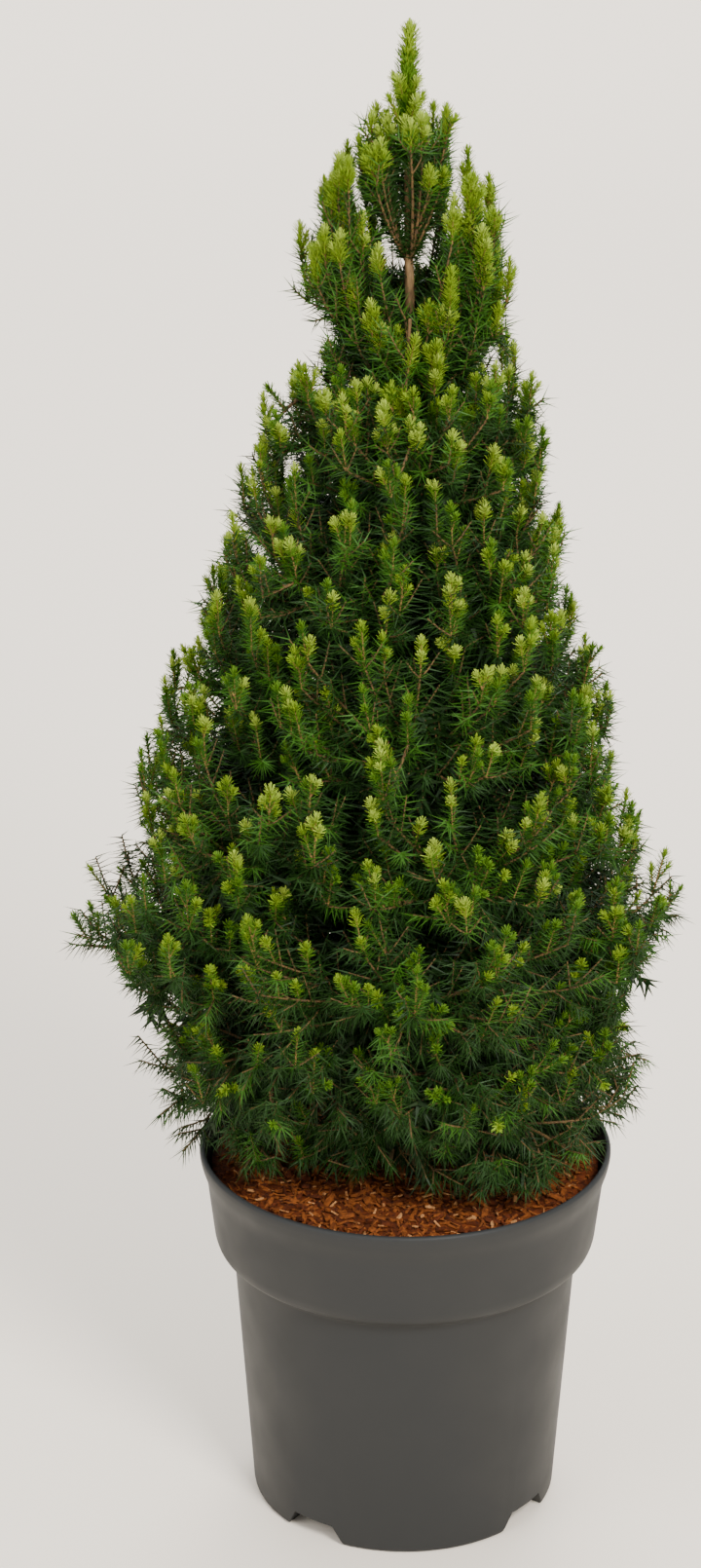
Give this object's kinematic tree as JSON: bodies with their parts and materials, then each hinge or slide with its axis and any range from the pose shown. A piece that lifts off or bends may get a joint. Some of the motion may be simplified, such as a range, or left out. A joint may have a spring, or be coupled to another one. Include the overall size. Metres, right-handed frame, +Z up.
{
  "type": "potted dwarf white spruce",
  "caption": "Conical dwarf white spruce with lime new shoots, standing in a dark grey plastic nursery pot topped with bark mulch.",
  "frame": {"origin": "centre of the pot's flat underside, on the floor", "axes": "+Z up along the trunk, -Y towards the viewer of the picture, +X to the viewer's right"},
  "size_m": [0.447, 0.392, 1.1],
  "materials": {
    "pot_plastic": "satin",
    "potting_mix": "matte",
    "bark_mulch": "matte",
    "bark": "matte",
    "mature_needles": "matte",
    "mid_needles": "matte",
    "young_needles": "matte"
  },
  "bodies": {
    "root": {"pot": "pot_plastic", "potting_mix": "potting_mix", "bark_mulch": "bark_mulch", "trunk": "bark", "low_bough_1": "bark", "low_bough_2": "bark", "low_bough_3": "bark", "low_bough_4": "bark", "low_bough_5": "bark", "broad_bough_1": "bark", "broad_bough_2": "bark", "broad_bough_3": "bark", "broad_bough_4": "bark", "middle_bough_1": "bark", "middle_bough_2": "bark", "middle_bough_3": "bark", "middle_bough_4": "bark", "middle_bough_5": "bark", "skirt_foliage_1": "mature_needles", "skirt_foliage_2": "mature_needles", "skirt_foliage_3": "mature_needles", "skirt_foliage_4": "mature_needles", "skirt_foliage_5": "mature_needles", "low_foliage_1": "mature_needles", "low_foliage_2": "mature_needles", "low_foliage_3": "mature_needles", "low_foliage_4": "mature_needles", "low_foliage_5": "mature_needles", "broad_foliage_1": "mature_needles", "broad_foliage_2": "mature_needles", "broad_foliage_3": "mature_needles", "broad_foliage_4": "mature_needles", "middle_foliage_1": "mid_needles", "middle_foliage_2": "mid_needles", "middle_foliage_3": "mid_needles", "middle_foliage_4": "mid_needles", "middle_foliage_5": "mid_needles", "upper_foliage_1": "mid_needles", "upper_foliage_2": "mid_needles", "upper_foliage_3": "mid_needles", "upper_foliage_4": "mid_needles", "shoulder_foliage_1": "mid_needles", "shoulder_foliage_2": "mid_needles", "shoulder_foliage_3": "mid_needles", "shoulder_foliage_4": "mid_needles", "neck_foliage_1": "young_needles", "neck_foliage_2": "young_needles", "neck_foliage_3": "young_needles", "neck_foliage_4": "young_needles", "lobe_foliage_1": "young_needles", "lobe_foliage_2": "young_needles", "lobe_foliage_3": "young_needles", "lobe_foliage_4": "young_needles", "crown_foliage_1": "young_needles", "crown_foliage_2": "young_needles", "crown_foliage_3": "young_needles", "leader_foliage": "young_needles"}
  },
  "joints": []
}
